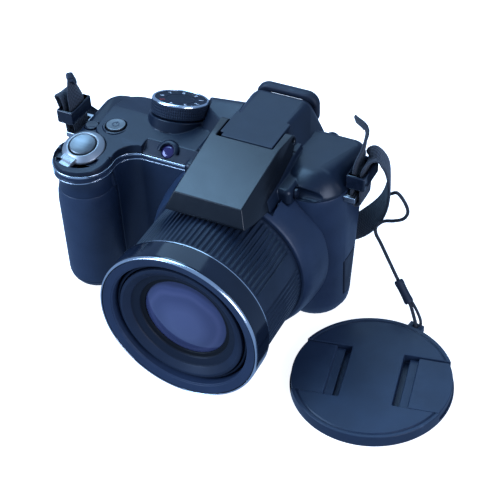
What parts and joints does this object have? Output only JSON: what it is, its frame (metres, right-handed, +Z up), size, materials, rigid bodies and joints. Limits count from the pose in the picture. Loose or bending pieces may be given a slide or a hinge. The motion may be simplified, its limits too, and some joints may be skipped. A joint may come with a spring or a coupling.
{
  "type": "bridge camera",
  "caption": "Bridge camera with a deep hand grip, fixed telescoping zoom lens, pop-up flash, mode dial, rear screen, neck strap and a lens cap on a cord.",
  "frame": {"origin": "mouth of the tripod socket, on the base and under the lens axis", "axes": "+Z up, -Y the way the lens looks, +X to the right as seen from the front of the picture's side, away from the grip"},
  "size_m": [0.1844, 0.1298, 0.0896],
  "materials": {
    "black_plastic": "fine moulded grain",
    "gloss_black": "polished",
    "rubber": "soft, fine grain",
    "bright_metal": "bright plated",
    "satin_metal": "satin",
    "steel": "plain",
    "brass": "turned",
    "glass": "coated",
    "screen": "clear cover over a dark screen",
    "board": "circuit board",
    "cell_jacket": "plain jacket",
    "webbing": "woven tape"
  },
  "bodies": {
    "body": {"front_cover": "black_plastic", "rear_cover": "black_plastic", "top_cover": "black_plastic", "base_plate": "black_plastic", "tripod_bush": "steel", "grip_rubber": "rubber", "thumb_rest": "rubber", "trim_strip": "bright_metal", "lens_collar": "black_plastic", "lens_shroud": "black_plastic", "front_ring": "gloss_black", "name_ring": "black_plastic", "zoom_motor": "steel", "image_sensor": "board", "main_board": "board", "flash_capacitor": "cell_jacket", "af_lamp": "glass", "lcd_panel": "screen", "lcd_window": "screen", "eyecup": "rubber", "eyepiece_lens": "glass", "battery_cells": "cell_jacket", "battery_contacts": "steel", "terminal_sockets": "steel", "strap_lugs": "steel", "body_screws": "steel", "lens_cap": "black_plastic", "cap_cord": "webbing", "cord_slider": "rubber", "strap_left": "webbing", "strap_hank": "webbing", "strap_right": "webbing", "strap_keepers": "black_plastic"},
    "cam": {"cam_ring": "satin_metal"},
    "pinion": {"zoom_pinion": "brass"},
    "stage_one": {"stage_one_barrel": "black_plastic", "inner_lens": "glass"},
    "stage_two": {"stage_two_barrel": "black_plastic", "front_lens": "glass"},
    "flash": {"flash_lid": "gloss_black", "flash_lamp": "bright_metal", "flash_window": "glass"},
    "flash_release": {"flash_button": "black_plastic"},
    "dial": {"mode_dial": "black_plastic", "dial_cap": "gloss_black"},
    "lever": {"zoom_lever": "bright_metal"},
    "shutter": {"shutter_button": "satin_metal"},
    "power": {"power_button": "satin_metal"},
    "burst": {"burst_button": "black_plastic"},
    "diopter": {"diopter_wheel": "black_plastic"},
    "movie": {"movie_button": "black_plastic"},
    "play": {"play_button": "black_plastic"},
    "pad": {"control_pad": "black_plastic"},
    "ok": {"ok_button": "black_plastic"},
    "door": {"battery_door": "black_plastic"},
    "latch": {"door_latch": "rubber"},
    "terminal": {"terminal_cover": "rubber"},
    "tab_left": {"cap_tab_left": "black_plastic"},
    "tab_right": {"cap_tab_right": "black_plastic"}
  },
  "joints": [
    {"name": "stage_one_slide", "type": "slide", "parent": "body", "child": "stage_one", "axis": [0, -1, 0], "range_m": [0, 0.02]},
    {"name": "stage_two_slide", "type": "slide", "parent": "stage_one", "child": "stage_two", "axis": [0, -1, 0], "range_m": [-0.0002, 0.0203]},
    {"name": "cam_turn", "type": "hinge", "parent": "body", "child": "cam", "pos_m": [0, -0.036, 0.0332], "axis": [0, 1, 0], "range_deg": [-1, 101.5]},
    {"name": "pinion_spin", "type": "hinge", "parent": "body", "child": "pinion", "pos_m": [-0.02179, -0.0177, 0.04578], "axis": [0, 1, 0], "range_deg": [-765, 10]},
    {"name": "flash_hinge", "type": "hinge", "parent": "body", "child": "flash", "pos_m": [0, 0.0026, 0.0754], "axis": [-1, 0, 0], "range_deg": [0, 45]},
    {"name": "flash_button_press", "type": "slide", "parent": "body", "child": "flash_release", "axis": [-1, 0, 0], "range_m": [0, 0.0008], "stiffness_N_per_m": 400},
    {"name": "dial_turn", "type": "hinge", "parent": "body", "child": "dial", "pos_m": [-0.0394, 0.0129, 0.0656], "axis": [0, 0.342, 0.9397], "continuous": true},
    {"name": "lever_turn", "type": "hinge", "parent": "body", "child": "lever", "pos_m": [-0.0651, -0.0183, 0.0622], "axis": [0, -0.2079, 0.9781], "range_deg": [-20, 20], "stiffness_Nm_per_rad": 0.05},
    {"name": "shutter_press", "type": "slide", "parent": "body", "child": "shutter", "axis": [0, 0.2079, -0.9781], "range_m": [0, 0.0007], "stiffness_N_per_m": 500},
    {"name": "power_press", "type": "slide", "parent": "body", "child": "power", "axis": [0, 0, -1], "range_m": [0, 0.0006], "stiffness_N_per_m": 400},
    {"name": "burst_press", "type": "slide", "parent": "body", "child": "burst", "axis": [0, 0, -1], "range_m": [0, 0.0006], "stiffness_N_per_m": 400},
    {"name": "diopter_turn", "type": "hinge", "parent": "body", "child": "diopter", "pos_m": [0.022, 0.0206, 0.064], "axis": [0, 1, 0], "range_deg": [-60, 60]},
    {"name": "movie_press", "type": "slide", "parent": "body", "child": "movie", "axis": [0, -1, 0], "range_m": [0, 0.0005], "stiffness_N_per_m": 400},
    {"name": "play_press", "type": "slide", "parent": "body", "child": "play", "axis": [0, -1, 0], "range_m": [0, 0.0005], "stiffness_N_per_m": 400},
    {"name": "pad_press", "type": "slide", "parent": "body", "child": "pad", "axis": [0, -1, 0], "range_m": [0, 0.0004], "stiffness_N_per_m": 400},
    {"name": "ok_press", "type": "slide", "parent": "body", "child": "ok", "axis": [0, -1, 0], "range_m": [0, 0.0006], "stiffness_N_per_m": 400},
    {"name": "door_hinge", "type": "hinge", "parent": "body", "child": "door", "pos_m": [-0.046, 0.0028, 0.0019], "axis": [0, -1, 0], "range_deg": [0, 95]},
    {"name": "latch_slide", "type": "slide", "parent": "door", "child": "latch", "axis": [0, -1, 0], "range_m": [0, 0.003]},
    {"name": "terminal_hinge", "type": "hinge", "parent": "body", "child": "terminal", "pos_m": [0.0376, -0.0004, 0.0185], "axis": [0, 0, -1], "range_deg": [0, 100]},
    {"name": "cap_left_press", "type": "slide", "parent": "body", "child": "tab_left", "axis": [0.9816, 0.1908, 0], "range_m": [0, 0.0018], "stiffness_N_per_m": 500},
    {"name": "cap_right_press", "type": "slide", "parent": "body", "child": "tab_right", "axis": [-0.9816, -0.1908, 0], "range_m": [0, 0.0018], "stiffness_N_per_m": 500}
  ],
  "couplings": [
    {"joint": "cam_turn", "follows": "stage_one_slide", "rad_per_m": 87.266},
    {"joint": "pinion_spin", "follows": "stage_one_slide", "rad_per_m": -654.5},
    {"joint": "stage_two_slide", "follows": "stage_one_slide", "ratio": 1}
  ]
}
